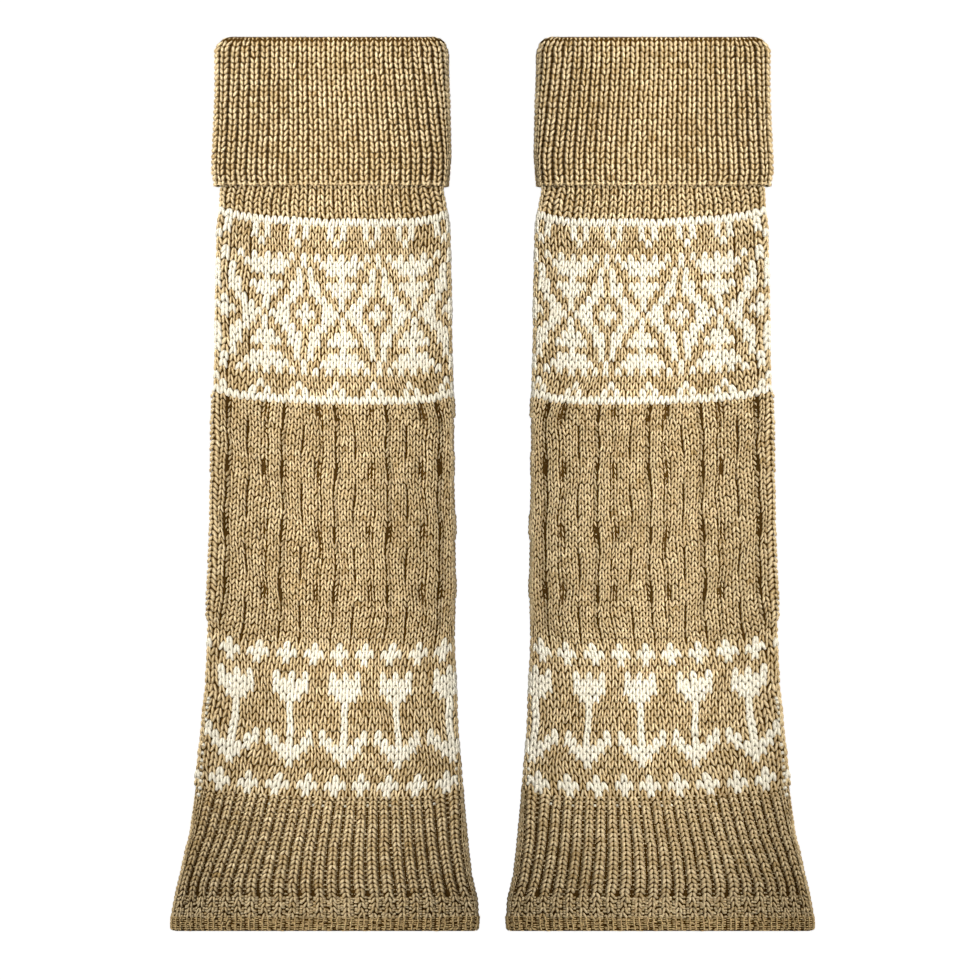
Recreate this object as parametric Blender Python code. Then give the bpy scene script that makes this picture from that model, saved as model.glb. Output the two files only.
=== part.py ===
"""A pair of knitted calf warmers, laid flat side by side with their turned-down cuffs at the top.

Each warmer is a flattened tube of thick knit: a front and a back panel that meet at the side seams,
a ribbed cuff folded outwards and down over them, and a hem band round the foot end.
Sizes are in millimetres and become metres when a mesh is made. X runs across the pair, Y from the hems
to the cuffs and Z up from the surface that the cloth lies on. Heights along a warmer start at its hem edge.
"""

import math

import bmesh
import bpy
import numpy as np

METRE = 0.001


def table(columns, *rows):
    """A short table, as one array for each named column."""
    return {name: np.array(cells, float) for name, cells in zip(columns.split(), zip(*rows))}


# Overall sizes of one warmer and its place in the pair.
LENGTH = 420.0
CENTRE_LINE = 74.9
WALL = 2.0
GAP = 0.3

# Layers are placed by their distance from the middle plane of the flattened tube.
PANEL_IN = GAP / 2
PANEL_OUT = PANEL_IN + WALL
CUFF_IN = PANEL_OUT + GAP
CUFF_OUT = CUFF_IN + WALL
FOLD_RADIUS = (CUFF_OUT - PANEL_IN) / 2

# Heights above the hem edge where one stretch of the knit ends and the next starts.
HEM_TOP = 7.5
PANEL_BOTTOM = HEM_TOP + GAP
LIFT_START = 318.0
LIFT_END = 347.0
CUFF_BOTTOM = 349.7
CUFF_LEG_END = 400.0
PANEL_TOP = CUFF_LEG_END - GAP
FOLD_START = LENGTH - FOLD_RADIUS

# Half widths of the tube: outer is the side away from the other warmer.
BODY_OUTLINE = table(
    "height outer inner",
    (0.0, 75.3, 67.2),
    (2.0, 76.3, 68.3),
    (7.5, 76.1, 68.7),
    (15.0, 74.6, 68.4),
    (26.8, 71.9, 65.6),
    (38.5, 69.6, 64.2),
    (47.0, 67.5, 63.3),
    (64.0, 66.2, 61.6),
    (95.0, 62.3, 58.8),
    (115.0, 60.4, 57.9),
    (140.0, 59.1, 57.3),
    (205.0, 57.3, 56.8),
    (250.0, 56.4, 56.4),
    (297.0, 55.6, 55.7),
    (330.0, 55.0, 54.9),
    (338.0, 53.5, 54.0),
    (348.0, 53.0, 52.5),
    (420.0, 53.0, 52.5),
)
CUFF_OUTLINE = table(
    "height outer inner",
    (349.7, 55.6, 54.9),
    (357.0, 56.6, 55.6),
    (364.0, 56.4, 56.2),
    (377.0, 55.9, 55.8),
    (397.0, 55.7, 55.3),
    (420.0, 55.4, 54.9),
)
# The cuff's top corners draw in over the last stretch below the fold.
CORNER_DROP = 7.8
CORNER_INSET = 4.6
CORNER_SHARE = 0.14

# Rows of knit curve up towards both sides of the face, most of all near the outer side. Places are shares
# of the face from the outer side, and the rise fades towards the hem and inside the cuff.
ROW_RISE = table(
    "place rise",
    (0.00, 5.5),
    (0.03, 4.6),
    (0.10, 2.7),
    (0.20, 1.7),
    (0.30, 1.0),
    (0.40, 0.4),
    (0.50, 0.0),
    (0.80, 0.0),
    (0.86, 0.3),
    (0.93, 1.2),
    (0.97, 2.2),
    (1.00, 3.4),
)
RISE_SHARE = table(
    "height share",
    (7.8, 0.0),
    (60.0, 1.0),
    (340.0, 1.0),
    (365.0, 0.0),
    (420.0, 0.0),
)

# Ribs are counted by the valleys between them, from the outer side. Places are shares of the face at a few
# heights. The foot's ribs fan out to the hem and leave a plain strip along both sides.
FOOT_FAN = table(
    "rib at_3 at_22 at_42 at_62",
    (0, 0.000, 0.000, 0.000, 0.000),
    (1, 0.012, 0.012, 0.014, 0.032),
    (4, 0.096, 0.088, 0.116, 0.150),
    (7, 0.234, 0.213, 0.237, 0.272),
    (10, 0.368, 0.359, 0.368, 0.401),
    (14, 0.555, 0.540, 0.544, 0.568),
    (18, 0.733, 0.738, 0.731, 0.735),
    (22, 0.916, 0.915, 0.903, 0.902),
    (24, 0.988, 0.986, 0.984, 0.988),
    (25, 1.000, 1.000, 1.000, 1.000),
)
FOOT_HEIGHTS = (2.8, 22.5, 42.3, 62.0)
TOP_FAN = table(
    "rib at_341 at_347",
    (0, 0.000, 0.000),
    (1, 0.015, 0.020),
    (6, 0.220, 0.233),
    (10, 0.385, 0.390),
    (14, 0.545, 0.544),
    (18, 0.700, 0.700),
    (21, 0.816, 0.817),
    (23, 0.907, 0.900),
    (25, 0.986, 0.984),
    (26, 1.000, 1.000),
)
TOP_HEIGHTS = (341.0, 347.0)
CUFF_FAN = table(
    "rib at_357 at_410",
    (0, 0.000, 0.000),
    (1, 0.008, 0.010),
    (2, 0.018, 0.031),
    (6, 0.209, 0.216),
    (10, 0.396, 0.386),
    (14, 0.577, 0.561),
    (18, 0.768, 0.738),
    (21, 0.909, 0.871),
    (23, 0.982, 0.964),
    (24, 0.991, 0.986),
    (25, 1.000, 1.000),
)
CUFF_HEIGHTS = (357.0, 410.0)

# Relief of the front: the mean level above the wall, and how far rib crests rise over the valleys.
FRONT_RELIEF = table(
    "height level ribs",
    (7.8, 0.45, 0.2),
    (15.0, 0.5, 0.3),
    (20.0, 0.6, 1.1),
    (52.0, 0.6, 1.1),
    (64.0, 0.5, 0.0),
    (325.0, 0.5, 0.0),
    (332.0, 0.5, 0.6),
    (344.0, 0.4, 0.6),
    (347.0, 0.0, 0.0),
    (420.0, 0.0, 0.0),
)
CUFF_RIB = 1.1
HEM_RIB = 0.5

# The textured zone: ridges run up it, a groove runs between each two, and notch rows interrupt the grooves.
# Ridge places are shares of the face from the outer side. Profile places are shares of one repeat.
RIDGE_PLACES = (0.035, 0.265, 0.484, 0.698, 0.912)
RIDGE_PROFILE = table(
    "place plain_row notch_row",
    (-0.11, 1.0, 1.0),
    (0.00, 1.2, 1.2),
    (0.11, 1.0, 1.0),
    (0.17, 0.3, -0.5),
    (0.30, 0.5, 0.0),
    (0.40, 0.6, 0.8),
    (0.46, 0.5, 0.8),
    (0.50, -0.2, 0.9),
    (0.54, 0.5, 0.8),
    (0.62, 0.6, 0.7),
    (0.70, 0.5, 0.0),
    (0.83, 0.3, -0.5),
)
NOTCH_ROWS = (159.0, 187.5, 217.0, 243.0)
NOTCH_DEEP = 3.2
NOTCH_REACH = 7.0
TEXTURE_BOTTOM = 140.0
TEXTURE_TOP = NOTCH_ROWS[-1] + NOTCH_REACH
TEXTURE_EDGE = 2.0
COLUMN_SHIFT = 60.0

SIDE_POINTS = 4
KNIT_COLOUR = (0.434, 0.296, 0.138, 1.0)
HEM_COLOUR = (0.330, 0.217, 0.098, 1.0)
KNIT_ROUGHNESS = 0.85


def smooth(share):
    share = np.clip(share, 0.0, 1.0)
    return share * share * (3.0 - 2.0 * share)


def look_up(rows, column, height):
    return float(np.interp(height, rows["height"], rows[column]))


def middle(height):
    """The middle plane climbs from the body's two layers to the cuff's four."""
    return PANEL_OUT + (CUFF_OUT - PANEL_OUT) * float(smooth((height - LIFT_START) / (LIFT_END - LIFT_START)))


def side_centres(outline, height, offset):
    """Where the rounded sides have their centres, outer side first, for a layer that reaches the outline."""
    outer = look_up(outline, "outer", height) - offset
    inner = look_up(outline, "inner", height) - offset
    return -outer, inner


def risen(height, place):
    """Where a row that has this height in the middle of the face lies at a place across it."""
    rise = float(np.interp(place, ROW_RISE["place"], ROW_RISE["rise"]))
    return height + rise * look_up(RISE_SHARE, "share", height)


def texture_columns():
    """Column places across the face in the textured zone, with their relief on plain and on notch rows."""
    places, plain, notch = [], [], []
    spans = np.diff(RIDGE_PLACES)
    for ridge, span in zip(RIDGE_PLACES, spans):
        places += list(ridge + span * RIDGE_PROFILE["place"])
        plain += list(RIDGE_PROFILE["plain_row"])
        notch += list(RIDGE_PROFILE["notch_row"])
    tail = len(FOOT_RIBS) - len(places)
    for row in range(tail - 1):
        places.append(RIDGE_PLACES[-1] + spans[-1] * RIDGE_PROFILE["place"][row])
        plain.append(RIDGE_PROFILE["plain_row"][row])
        notch.append(RIDGE_PROFILE["notch_row"][row])
    places.append(1.0)
    plain.append(RIDGE_PROFILE["plain_row"][tail])
    notch.append(RIDGE_PROFILE["plain_row"][tail])
    return np.array(places), np.array(plain), np.array(notch)


def counted_ribs(count, plain):
    """Where a face has points, counted in ribs, and their waves. Plain strips have no crest."""
    ribs, waves = [], []
    for rib in range(count):
        is_plain = rib < plain or rib >= count - plain
        ribs += [rib, rib + 1 / 3, rib + 2 / 3] if is_plain else [rib, rib + 0.5]
        waves += [-0.1, -0.1, -0.1] if is_plain else [-0.5, 0.5]
    return np.array([*ribs, count]), np.array([*waves, waves[0]])


def rib_places(fan, heights, ribs, height):
    """Places counted in ribs as shares of the face at a height."""
    at_heights = [np.interp(ribs, fan["rib"], fan[name]) for name in fan if name != "rib"]
    band = float(np.interp(height, heights, range(len(heights))))
    low = min(int(band), len(heights) - 2)
    return at_heights[low] + (at_heights[low + 1] - at_heights[low]) * (band - low)


FOOT_RIBS, FOOT_WAVES = counted_ribs(25, 1)
TOP_RIBS, TOP_WAVES = counted_ribs(26, 0)
CUFF_RIBS, CUFF_WAVES = counted_ribs(25, 0)
TEXTURE_PLACES, TEXTURE_PLAIN, TEXTURE_NOTCH = texture_columns()


def texture_share(height):
    """1 in the textured zone, falling to 0 over the plain bands above and below it."""
    below = (height - (TEXTURE_BOTTOM - COLUMN_SHIFT)) / COLUMN_SHIFT
    above = (TEXTURE_TOP + COLUMN_SHIFT - height) / COLUMN_SHIFT
    return float(np.clip(min(below, above), 0.0, 1.0))


def notch_share(height):
    nearest = min(abs(height - row) for row in NOTCH_ROWS)
    return float(np.clip((NOTCH_REACH - nearest) / (NOTCH_REACH - NOTCH_DEEP), 0.0, 1.0))


def face_columns(height):
    """Places across the front panel's face at a height, and how far each column is raised there."""
    share = texture_share(height)
    if height < TEXTURE_BOTTOM:
        places, waves = rib_places(FOOT_FAN, FOOT_HEIGHTS, FOOT_RIBS, height), FOOT_WAVES
    else:
        places, waves = rib_places(TOP_FAN, TOP_HEIGHTS, TOP_RIBS, height), TOP_WAVES
    places = (1.0 - share) * places + share * TEXTURE_PLACES
    if TEXTURE_BOTTOM <= height <= TEXTURE_TOP:
        deep = notch_share(height)
        return places, (1.0 - deep) * TEXTURE_PLAIN + deep * TEXTURE_NOTCH
    return places, look_up(FRONT_RELIEF, "level", height) + look_up(FRONT_RELIEF, "ribs", height) * waves


def front_section(height):
    """One closed section of a front panel: rounded side, raised face, rounded side, plain inside."""
    left_height, right_height = risen(height, 0.0), risen(height, 1.0)
    left = side_centres(BODY_OUTLINE, left_height, PANEL_OUT)[0]
    right = side_centres(BODY_OUTLINE, right_height, PANEL_OUT)[1]
    seam = math.asin(PANEL_IN / PANEL_OUT)
    turns = np.linspace(seam, math.pi / 2, SIDE_POINTS, endpoint=False)
    outer = [(left - PANEL_OUT * math.cos(a), left_height, PANEL_OUT * math.sin(a)) for a in turns]
    inner = [(right + PANEL_OUT * math.cos(a), right_height, PANEL_OUT * math.sin(a)) for a in turns[::-1]]
    places, raised = face_columns(height)
    face = [
        (left + place * (right - left), risen(height, place), PANEL_OUT + rise)
        for place, rise in zip(places, raised)
    ]
    return [(x, y, middle(y) + offset) for x, y, offset in outer + face + inner]


def back_section(height):
    """One closed section of a back panel, with its flat underside below and its plain inside above."""
    left, right = side_centres(BODY_OUTLINE, height, PANEL_OUT)
    z = middle(height)
    seam = math.asin(PANEL_IN / PANEL_OUT)
    turns = np.linspace(seam, math.pi / 2, SIDE_POINTS)
    points = [(left - PANEL_OUT * math.cos(a), height, z - PANEL_OUT * math.sin(a)) for a in turns]
    points += [(right + PANEL_OUT * math.cos(a), height, z - PANEL_OUT * math.sin(a)) for a in turns[::-1]]
    return points


def ring_section(outline, height, offset, rib, outline_offset, face, inset=0.0):
    """One loop round the whole tube at an offset from its middle plane, ribbed over the face.

    The face is given as places and waves. An inset draws in only the outermost places of both sides."""
    left, right = side_centres(outline, height, outline_offset)
    z = middle(height)
    turns = np.linspace(math.pi / 2, -math.pi / 2, 2 * SIDE_POINTS - 1)[1:]
    points = []
    for place, wave in zip(*face):
        drawn = max(0.0, 1.0 - place / CORNER_SHARE) - max(0.0, 1.0 - (1.0 - place) / CORNER_SHARE)
        x = left + place * (right - left) + inset * drawn
        points.append((x, height, z + offset + rib * (0.5 + wave)))
    left, right = left + inset, right - inset
    points += [(right + offset * math.cos(a), height, z + offset * math.sin(a)) for a in turns]
    points += [(left - offset * math.cos(a), height, z + offset * math.sin(a)) for a in turns[::-1]]
    return points


def cuff_sections():
    """The cuff's wall, followed up its outer leg, over the fold, down the inner leg and back inside."""
    legs = [(CUFF_BOTTOM + 0.4, CUFF_IN, 0.0), (CUFF_BOTTOM, CUFF_IN + WALL / 2, 0.0)]
    legs += [(CUFF_BOTTOM + 1.2, CUFF_OUT, 0.6 * CUFF_RIB)]
    legs += [(height, CUFF_OUT, CUFF_RIB) for height in (357.0, 377.0, 397.0, 412.0)]
    middle_offset = (CUFF_OUT + PANEL_IN) / 2
    for degrees, rib in ((0, 0.8 * CUFF_RIB), (40, 0.5 * CUFF_RIB), (90, 0.0), (140, 0.0), (180, 0.0)):
        turn = math.radians(degrees)
        height = FOLD_START + FOLD_RADIUS * math.sin(turn)
        legs.append((height, middle_offset + FOLD_RADIUS * math.cos(turn), rib))
    legs += [(CUFF_LEG_END, PANEL_IN, 0.0), (CUFF_LEG_END, PANEL_OUT, 0.0)]
    legs += [(FOLD_START, PANEL_OUT, 0.0), (FOLD_START + GAP / 2, (PANEL_OUT + CUFF_IN) / 2, 0.0)]
    legs += [(FOLD_START, CUFF_IN, 0.0), (LENGTH - CORNER_DROP, CUFF_IN, 0.0)]
    sections = []
    for height, offset, rib in legs:
        left_to_drop = max(0.0, 1.0 - (LENGTH - height) / CORNER_DROP)
        inset = CORNER_INSET * left_to_drop**2
        face = (rib_places(CUFF_FAN, CUFF_HEIGHTS, CUFF_RIBS, height), CUFF_WAVES)
        sections.append(ring_section(CUFF_OUTLINE, height, offset, rib, CUFF_OUT, face, inset))
    return sections


def hem_sections():
    """The hem band's wall, followed from its inside round the hem edge and up its outside."""
    rounded = WALL / 2
    legs = (
        (HEM_TOP, PANEL_IN, 0.0),
        (rounded, PANEL_IN, 0.0),
        (0.0, PANEL_IN + 0.6 * rounded, 0.0),
        (0.0, PANEL_OUT - 0.6 * rounded, 0.0),
        (rounded, PANEL_OUT, 0.5 * HEM_RIB),
        (HEM_TOP / 2, PANEL_OUT, HEM_RIB),
        (HEM_TOP, PANEL_OUT, HEM_RIB),
    )
    face = (rib_places(FOOT_FAN, FOOT_HEIGHTS, FOOT_RIBS, HEM_TOP / 2), FOOT_WAVES)
    return [ring_section(BODY_OUTLINE, height, offset, rib, PANEL_OUT, face) for height, offset, rib in legs]


def lift_heights():
    return {LIFT_START + share * (LIFT_END - LIFT_START) for share in (0.0, 0.25, 0.5, 0.75, 1.0)}


def front_heights():
    """Every height where the outline, the lift, the relief or the texture of a front panel changes."""
    rows = set(BODY_OUTLINE["height"]) | set(FRONT_RELIEF["height"])
    heights = {h for h in rows if PANEL_BOTTOM < h < TEXTURE_BOTTOM or TEXTURE_TOP < h < LIFT_START}
    for row in NOTCH_ROWS:
        heights |= {row - NOTCH_REACH, row - NOTCH_DEEP, row + NOTCH_DEEP, row + NOTCH_REACH}
    heights |= {TEXTURE_BOTTOM, TEXTURE_BOTTOM - TEXTURE_EDGE, TEXTURE_TOP, TEXTURE_TOP + TEXTURE_EDGE}
    return sorted(heights | lift_heights() | {PANEL_BOTTOM, PANEL_TOP})


def back_heights():
    rows = {h for h in BODY_OUTLINE["height"] if PANEL_BOTTOM < h < LIFT_START}
    return sorted(rows | lift_heights() | {PANEL_BOTTOM, PANEL_TOP})


def cloth_solid(name, sections, closed, mirrored, material, collection):
    """A closed solid through sections of equal point counts: a ring if closed, and otherwise capped."""
    count, size = len(sections), len(sections[0])
    points = np.array(sections, float).reshape(-1, 3) * METRE
    points[:, 0] -= CENTRE_LINE * METRE
    points[:, 1] -= LENGTH / 2 * METRE
    if mirrored:
        points[:, 0] *= -1.0
    faces = []
    for i in range(count if closed else count - 1):
        here, there = i * size, (i + 1) % count * size
        for j in range(size):
            k = (j + 1) % size
            faces.append((here + j, here + k, there + k, there + j))
    if not closed:
        faces += [tuple(range(size)), tuple(range((count - 1) * size, count * size))]
    mesh = bpy.data.meshes.new(name)
    mesh.from_pydata(points.tolist(), [], faces)
    form = bmesh.new()
    form.from_mesh(mesh)
    bmesh.ops.recalc_face_normals(form, faces=form.faces)
    form.to_mesh(mesh)
    form.free()
    mesh.shade_smooth()
    mesh.set_sharp_from_angle(angle=math.radians(50))
    mesh.materials.append(material)
    made = bpy.data.objects.new(name, mesh)
    collection.objects.link(made)
    return made


def knit_material(name, colour):
    """Matt wool-like yarn, with the mean colour of lit crests and shaded gaps."""
    material = bpy.data.materials.new(name)
    material.use_nodes = True
    shader = material.node_tree.nodes["Principled BSDF"]
    shader.inputs["Base Color"].default_value = colour
    shader.inputs["Roughness"].default_value = KNIT_ROUGHNESS
    shader.inputs["Metallic"].default_value = 0.0
    material.diffuse_color = colour
    return material


def build_warmer(side, mirrored, collection):
    """The four pieces of one warmer."""
    pieces = (
        ("front_panel", [front_section(h) for h in front_heights()], False, KNIT_COLOUR),
        ("back_panel", [back_section(h) for h in back_heights()], False, KNIT_COLOUR),
        ("turned_cuff", cuff_sections(), True, KNIT_COLOUR),
        ("hem_band", hem_sections(), True, HEM_COLOUR),
    )
    for piece, sections, closed, colour in pieces:
        name = f"{side}_{piece}"
        cloth_solid(name, sections, closed, mirrored, knit_material(f"{name}_knit", colour), collection)


def main():
    for old in list(bpy.data.objects):
        bpy.data.objects.remove(old)
    collection = bpy.data.collections.new("calf_warmer_pair")
    bpy.context.scene.collection.children.link(collection)
    build_warmer("left", False, collection)
    build_warmer("right", True, collection)


main()
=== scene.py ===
# %% [markdown]
# # A pair of knitted calf warmers, laid flat
# Each warmer is a flattened tube of thick knit: a flared ribbed foot with a folded hem band, a band of
# tulips, a textured stretch, a band of diamonds and flowers, and a ribbed top that is turned down as a cuff.
# The solids of the eight sub-parts are already packed in one shared frame. This lesson dresses them: a thin
# shell of cloth on each solid, then every knit stitch as a small piece of yarn, then colours and light.

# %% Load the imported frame
import math

import bpy
import numpy as np
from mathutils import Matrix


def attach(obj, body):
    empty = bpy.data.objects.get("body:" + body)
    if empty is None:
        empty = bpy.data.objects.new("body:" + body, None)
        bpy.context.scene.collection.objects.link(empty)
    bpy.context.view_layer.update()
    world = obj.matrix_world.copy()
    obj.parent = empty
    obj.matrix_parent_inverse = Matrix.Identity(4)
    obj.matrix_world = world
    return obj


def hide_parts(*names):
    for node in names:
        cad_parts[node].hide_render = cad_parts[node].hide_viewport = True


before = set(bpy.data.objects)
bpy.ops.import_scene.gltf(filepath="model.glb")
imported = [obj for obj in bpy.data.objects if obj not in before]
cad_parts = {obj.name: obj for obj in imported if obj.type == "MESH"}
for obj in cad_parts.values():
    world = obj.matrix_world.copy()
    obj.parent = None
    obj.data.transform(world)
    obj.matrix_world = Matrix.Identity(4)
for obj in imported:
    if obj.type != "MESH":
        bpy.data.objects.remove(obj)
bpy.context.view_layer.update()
print("nodes:", sorted(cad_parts))

# %% [markdown]
# ## The sizes that both scripts share
# The solids were worked out from a few sizes in millimetres, and the knit has to lie on the same form, so the
# same sizes are named here again. Heights start at the hem edge. The two layers of the flattened tube lie on
# each other, and everything is placed by its distance from the middle plane between them.

# %% Sizes of one warmer
METRE = 0.001


def table(text):
    """A short table as one array for each named column. Commas part its rows, and the first has the names."""
    names, *rows = [row.split() for row in text.split(",")]
    return dict(zip(names, np.array(rows, float).T))


LENGTH = 420.0
CENTRE_LINE = 74.9
PANEL_IN = 0.15
PANEL_OUT = 2.15
CUFF_OUT = 4.45
FOLD_RADIUS = (CUFF_OUT - PANEL_IN) / 2
HEM_TOP = 7.5
PANEL_BOTTOM = 7.8
LIFT_START = 318.0
LIFT_END = 347.0
CUFF_BOTTOM = 349.7
CUFF_LEG_END = 400.0
PANEL_TOP = 399.7
FOLD_START = LENGTH - FOLD_RADIUS
BODY_OUTLINE = table("""height outer inner,
    0 75.3 67.2, 2 76.3 68.3, 7.5 76.1 68.7, 15 74.6 68.4, 26.8 71.9 65.6, 38.5 69.6 64.2,
    47 67.5 63.3, 64 66.2 61.6, 95 62.3 58.8, 115 60.4 57.9, 140 59.1 57.3, 205 57.3 56.8,
    250 56.4 56.4, 297 55.6 55.7, 330 55 54.9, 338 53.5 54, 348 53 52.5, 420 53 52.5""")
CUFF_OUTLINE = table("""height outer inner,
    349.7 55.6 54.9, 357 56.6 55.6, 364 56.4 56.2, 377 55.9 55.8, 397 55.7 55.3, 420 55.4 54.9""")
CORNER_DROP = 7.8
CORNER_INSET = 4.6
CORNER_SHARE = 0.14
ROW_RISE = table("""place rise,
    0 5.5, 0.03 4.6, 0.1 2.7, 0.2 1.7, 0.3 1, 0.4 0.4, 0.5 0, 0.8 0, 0.86 0.3, 0.93 1.2, 0.97 2.2,
    1 3.4""")
RISE_SHARE = table("height share, 7.8 0, 60 1, 340 1, 365 0, 420 0")

print("one warmer is", LENGTH, "mm long, and", 2 * CENTRE_LINE, "mm from its twin's middle line")

# %% [markdown]
# ## A map of the knit
# A knitter counts across in wales and up in rows, so it helps to have functions that turn a place in the
# knit into a point in space. Round the tube a place goes from 0 at the outer side seam to 1 at the inner one.
# The flat face and the two rounded sides are one path, and its points are pushed out along its normal. Rows
# of this knit curve up a little towards the seams, because the seams pull the cloth.

# %% From a place on the flattened tube to a point
FRONT, BACK = 1.0, -1.0
OUT_OF_TUBE = np.pi / 2


def column(rows, name, at):
    """A table's column, read at any number of heights or places."""
    first = next(iter(rows))
    return np.interp(at, rows[first], rows[name])


def smooth(share):
    share = np.clip(share, 0.0, 1.0)
    return share * share * (3.0 - 2.0 * share)


def middle(height):
    return PANEL_OUT + (CUFF_OUT - PANEL_OUT) * smooth((height - LIFT_START) / (LIFT_END - LIFT_START))


def risen(height, place):
    return height + column(ROW_RISE, "rise", place) * column(RISE_SHARE, "share", height)


def across_tube(left, right, radius, around, offset):
    """X and Z of a path over the rounded side, the flat face and the other side, and the face's place."""
    width = right - left
    path = around * (width + math.pi * radius)
    rest = width + math.pi * radius - path
    turn_in = np.clip(path / radius, 0.0, OUT_OF_TUBE)
    turn_out = np.clip(rest / radius, 0.0, OUT_OF_TUBE)
    place = np.clip((path - OUT_OF_TUBE * radius) / width, 0.0, 1.0)
    x = left + place * width + offset * (np.cos(turn_out) - np.cos(turn_in))
    return x, offset * np.sin(turn_in) * np.sin(turn_out), place


def body_point(around, height, offset, side):
    """A point of the body's knit, at an offset from the middle plane, in millimetres."""
    left = PANEL_OUT - column(BODY_OUTLINE, "outer", risen(height, 0.0))
    right = column(BODY_OUTLINE, "inner", risen(height, 1.0)) - PANEL_OUT
    x, z, place = across_tube(left, right, PANEL_OUT, around, offset)
    y = risen(height, place)
    return np.stack([x - CENTRE_LINE, y - LENGTH / 2, middle(y) + side * z], axis=-1)


CUFF_LEG = FOLD_START - CUFF_BOTTOM
CUFF_FOLD = math.pi * FOLD_RADIUS
CUFF_PATH = CUFF_LEG + CUFF_FOLD + FOLD_START - CUFF_LEG_END


def cuff_point(around, path, lift, side):
    """A point of the turned cuff. The path runs up the outer leg, over the fold and down the inner leg."""
    turn = np.clip((path - CUFF_LEG) / FOLD_RADIUS, 0.0, math.pi)
    down = np.clip(path - CUFF_LEG - CUFF_FOLD, 0.0, None)
    y = CUFF_BOTTOM + np.minimum(path, CUFF_LEG) + (FOLD_RADIUS + lift) * np.sin(turn) - down
    offset = (CUFF_OUT + PANEL_IN) / 2 + (FOLD_RADIUS + lift) * np.cos(turn)
    left = CUFF_OUT - column(CUFF_OUTLINE, "outer", y)
    right = column(CUFF_OUTLINE, "inner", y) - CUFF_OUT
    x, z, place = across_tube(left, right, CUFF_OUT, around, offset)
    inset = CORNER_INSET * np.clip(1.0 - (LENGTH - y) / CORNER_DROP, 0.0, None) ** 2
    near_outer = np.clip(1.0 - place / CORNER_SHARE, 0.0, None)
    near_inner = np.clip(1.0 - (1.0 - place) / CORNER_SHARE, 0.0, None)
    x = x + inset * (near_outer - near_inner)
    return np.stack([x - CENTRE_LINE, y - LENGTH / 2, middle(y) + side * z], axis=-1)


HEM_RADIUS = (PANEL_OUT - PANEL_IN) / 2
HEM_LEG = HEM_TOP - HEM_RADIUS
HEM_PATH = 2 * HEM_LEG + math.pi * HEM_RADIUS


def hem_point(around, path, lift, side):
    """A point of the folded welt. The path runs down its inside, round the hem edge and up its outside."""
    turn = np.clip((path - HEM_LEG) / HEM_RADIUS, 0.0, math.pi)
    up = np.clip(path - HEM_LEG - math.pi * HEM_RADIUS, 0.0, None)
    radius = HEM_RADIUS + lift
    y = HEM_TOP - np.minimum(path, HEM_LEG) - radius * np.sin(turn) + up
    return body_point(around, y, (PANEL_IN + PANEL_OUT) / 2 - radius * np.cos(turn), side)


print("middle of the tulip band:", body_point(0.5, 100.0, PANEL_OUT, FRONT).round(1))

# %% [markdown]
# ## Wales, ribs and rows
# The patterned stretch has 38 wales across the face and 92 rows. They aren't evenly wide: the knit is
# stretched more in some places than in others. A few measured places in each band, with straight lines
# between them, are enough. The ribs are counted by the valleys between them. They fan out from the lower
# band to the hem, and the first of them runs off round the outer side.

# %% Where the wales and rows lie
WALES = 38
MEAN_WIDTH = 113.0
TULIP_WALES = table("wale share, 4.5 0.1245, 12.5 0.345, 20.5 0.558, 28.5 0.763, 36.5 0.972")
CROSS_WALES = table("wale share, 3.5 0.094, 11.5 0.303, 19.5 0.515, 27.5 0.715, 35.5 0.929")
TEXTURE_WALES = table("wale share, 1 0.033, 9 0.2645, 17 0.4835, 25 0.698, 33 0.913, 36 0.985")
DIAMOND_WALES = table("wale share, 1.5 0.047, 7.5 0.221, 13.5 0.383, 19.5 0.54, 25.5 0.69, 31.5 0.838")
WALE_HEIGHTS = (62.0, 78.0, 125.0, 150.0, 240.0, 262.0, 335.0)
WALE_BANDS = (CROSS_WALES, *[TULIP_WALES] * 2, *[TEXTURE_WALES] * 2, *[DIAMOND_WALES] * 2)
ROWS_UP = table("row height, 0 63.5, 21 135.5, 66 248, 92 334.6")
TULIP_ROWS = 21
TEXTURE_ROWS = 45
DIAMOND_ROWS = 26
BAND_ROWS = TULIP_ROWS + TEXTURE_ROWS + DIAMOND_ROWS
WAVER = ((0.16, 8.5, 0.35, 0.0), (0.09, 3.7, 0.9, 2.0))
STILL_WALES = 2.0


def between_heights(places, heights, height):
    """Blends arrays of places that are known at a few heights."""
    band = np.interp(height, heights, np.arange(len(heights)))
    low = np.minimum(band.astype(int), len(heights) - 2)
    here = np.take_along_axis(places, low[None], 0)[0]
    there = np.take_along_axis(places, low[None] + 1, 0)[0]
    return here + (there - here) * (band - low)


def waver(wale, height):
    """Wales are never quite straight: a small drift to and fro, nearly alike in neighbours."""
    inside = smooth(np.minimum(wale, WALES - wale) / STILL_WALES)
    drift = sum(size * np.sin(height / length + wale * shift + start) for size, length, shift, start in WAVER)
    return inside * drift


def wale_around(wale, height):
    """How far round the face a wale lies at a height. Shares of the width become shares of the path."""
    bend = (math.pi / 2 - 1.0) * PANEL_OUT
    wale, height = np.broadcast_arrays(wale, height)
    moved = wale + waver(wale, height)
    tried = []
    for places in WALE_BANDS:
        around = (places["share"] * MEAN_WIDTH + bend) / (MEAN_WIDTH + 2 * bend)
        tried.append(np.interp(moved, [0.0, *places["wale"], WALES], [0.0, *around, 1.0]))
    return between_heights(np.stack(tried), WALE_HEIGHTS, height)

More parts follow.
